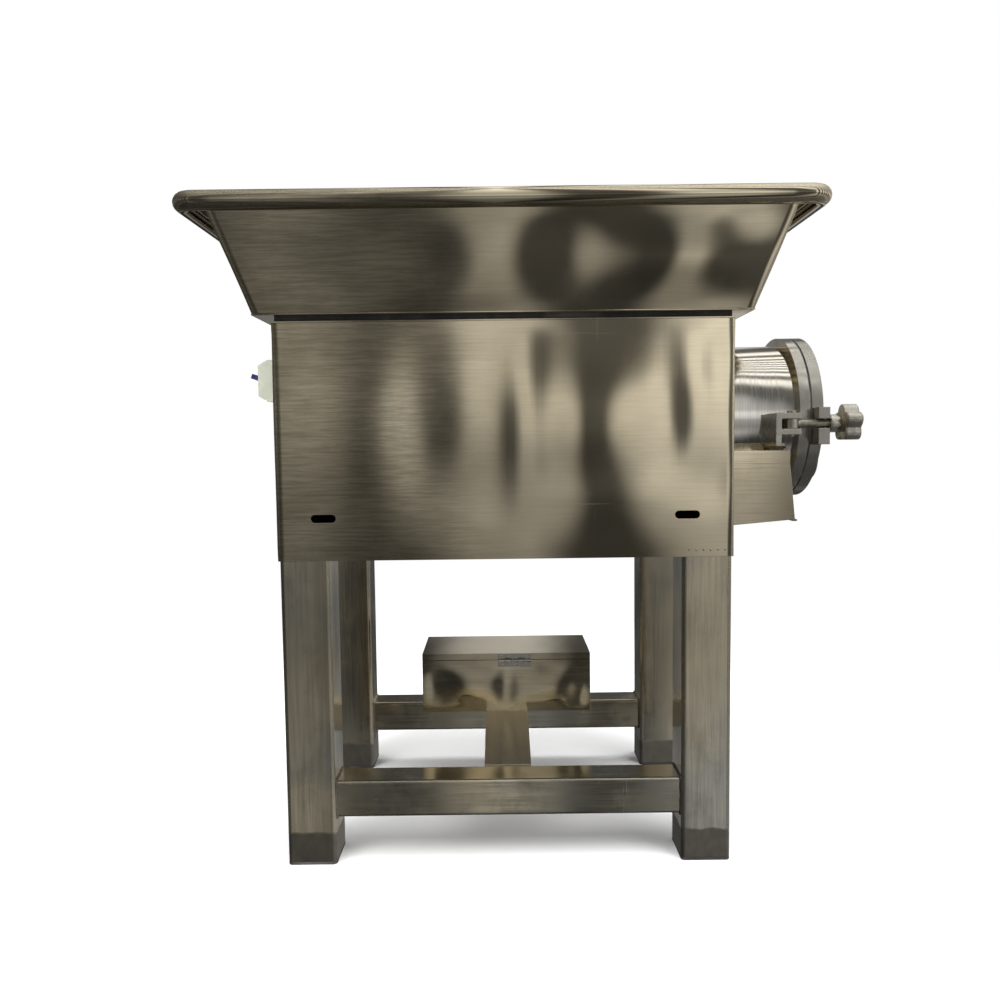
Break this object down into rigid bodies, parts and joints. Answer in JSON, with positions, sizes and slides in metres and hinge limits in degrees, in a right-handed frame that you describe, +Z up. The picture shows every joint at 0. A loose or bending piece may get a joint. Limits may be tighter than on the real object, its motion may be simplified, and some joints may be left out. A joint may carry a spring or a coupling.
{
  "type": "grape crusher destemmer",
  "caption": "Floor-standing stainless machine with a flared hopper, crushing rollers, an auger with beaters in a perforated screen, a must chute and a clamped end cover.",
  "frame": {"origin": "on the floor, at the centre of the four legs' footprint", "axes": "+Z up, +X towards the barrel and end cover, -Y is the front with the two slots"},
  "size_m": [0.6728, 0.452, 0.662],
  "materials": {
    "stainless": "brushed, lightly polished stainless sheet",
    "tube_steel": "ground stainless tube",
    "plate_steel": "mill-finish plate",
    "cover_steel": "turned stainless",
    "shaft_steel": "turned stainless",
    "clamp_steel": "satin stainless",
    "knob_steel": "cast and tumbled stainless",
    "gear_steel": "oiled hobbed steel",
    "bearing_steel": "ground ring",
    "bronze": "sintered bronze",
    "rubber": "black food-grade rubber",
    "black_plastic": "moulded black",
    "motor_paint": "grey-blue enamel",
    "cover_paint": "dark enamel",
    "rotor_steel": "machined laminations",
    "cream_plastic": "moulded cream",
    "blue_plastic": "moulded dark blue",
    "box_steel": "polished thin stainless sheet",
    "hinge_steel": "rolled stainless hinge"
  },
  "bodies": {
    "stand": {"front_panel": "stainless", "rear_panel": "stainless", "left_panel": "stainless", "right_panel": "stainless", "deck_plate": "stainless", "hopper_front": "stainless", "hopper_rear": "stainless", "hopper_left": "stainless", "hopper_right": "stainless", "hopper_base": "stainless", "hopper_slopes": "stainless", "barrel": "stainless", "barrel_flange": "stainless", "chute_collar": "stainless", "chute_walls": "stainless", "trough": "stainless", "screen": "stainless", "legs": "tube_steel", "front_rail": "tube_steel", "rear_rail": "tube_steel", "plate_bearers": "tube_steel", "base_plate": "plate_steel", "bulkhead": "plate_steel", "motor_plate": "plate_steel", "end_cover": "cover_steel", "clevis_brackets": "clamp_steel", "clevis_pins": "clamp_steel", "shaft_bearings": "bearing_steel", "bushes": "bronze", "gaskets": "rubber", "foot_caps": "black_plastic", "motor_housing": "motor_paint", "motor_shields": "motor_paint", "fan_cover": "cover_paint", "breaker_body": "cream_plastic", "box_shell": "box_steel", "box_strap": "box_steel", "fixed_leaf": "hinge_steel"},
    "auger": {"auger_shaft": "shaft_steel", "auger_flight": "shaft_steel", "beaters": "shaft_steel", "auger_gear": "gear_steel"},
    "front_crusher": {"front_roller": "shaft_steel", "front_roller_gear": "gear_steel"},
    "rear_crusher": {"rear_roller": "shaft_steel", "rear_roller_gear": "gear_steel"},
    "motor_rotor": {"rotor": "rotor_steel", "pinion": "gear_steel", "fan": "black_plastic"},
    "switch_lever": {"breaker_lever": "blue_plastic"},
    "flap": {"box_flap": "box_steel", "flap_leaf": "hinge_steel"},
    "front_bolt": {"front_swing_bolt": "clamp_steel"},
    "rear_bolt": {"rear_swing_bolt": "clamp_steel"},
    "front_star_knob": {"front_knob": "knob_steel"},
    "rear_star_knob": {"rear_knob": "knob_steel"}
  },
  "joints": [
    {"name": "auger_spin", "type": "hinge", "parent": "stand", "child": "auger", "pos_m": [0, 0, 0.457], "axis": [1, 0, 0], "continuous": true},
    {"name": "front_crusher_spin", "type": "hinge", "parent": "stand", "child": "front_crusher", "pos_m": [0, -0.024, 0.52488], "axis": [1, 0, 0], "continuous": true},
    {"name": "rear_crusher_spin", "type": "hinge", "parent": "stand", "child": "rear_crusher", "pos_m": [0, 0.024, 0.52488], "axis": [1, 0, 0], "continuous": true},
    {"name": "motor_spin", "type": "hinge", "parent": "stand", "child": "motor_rotor", "pos_m": [0, 0, 0.391], "axis": [1, 0, 0], "continuous": true},
    {"name": "switch_throw", "type": "hinge", "parent": "stand", "child": "switch_lever", "pos_m": [-0.253, -0.075, 0.49998], "axis": [0, -1, 0], "range_deg": [0, 52]},
    {"name": "flap_swing", "type": "hinge", "parent": "stand", "child": "flap", "pos_m": [0.01, -0.0075, 0.173], "axis": [-1, 0, 0], "range_deg": [0, 100]},
    {"name": "front_bolt_swing", "type": "hinge", "parent": "stand", "child": "front_bolt", "pos_m": [0.304, -0.1, 0.448], "axis": [0, 0, -1], "range_deg": [0, 110]},
    {"name": "rear_bolt_swing", "type": "hinge", "parent": "stand", "child": "rear_bolt", "pos_m": [0.304, 0.1, 0.448], "axis": [0, 0, 1], "range_deg": [0, 110]},
    {"name": "front_knob_turn", "type": "hinge", "parent": "front_bolt", "child": "front_star_knob", "pos_m": [0.304, -0.1, 0.448], "axis": [1, 0, 0], "continuous": true},
    {"name": "rear_knob_turn", "type": "hinge", "parent": "rear_bolt", "child": "rear_star_knob", "pos_m": [0.304, 0.1, 0.448], "axis": [1, 0, 0], "continuous": true}
  ],
  "couplings": [
    {"joint": "motor_spin", "follows": "auger_spin", "ratio": -2.6667},
    {"joint": "front_crusher_spin", "follows": "auger_spin", "ratio": -2},
    {"joint": "rear_crusher_spin", "follows": "auger_spin", "ratio": 2}
  ]
}
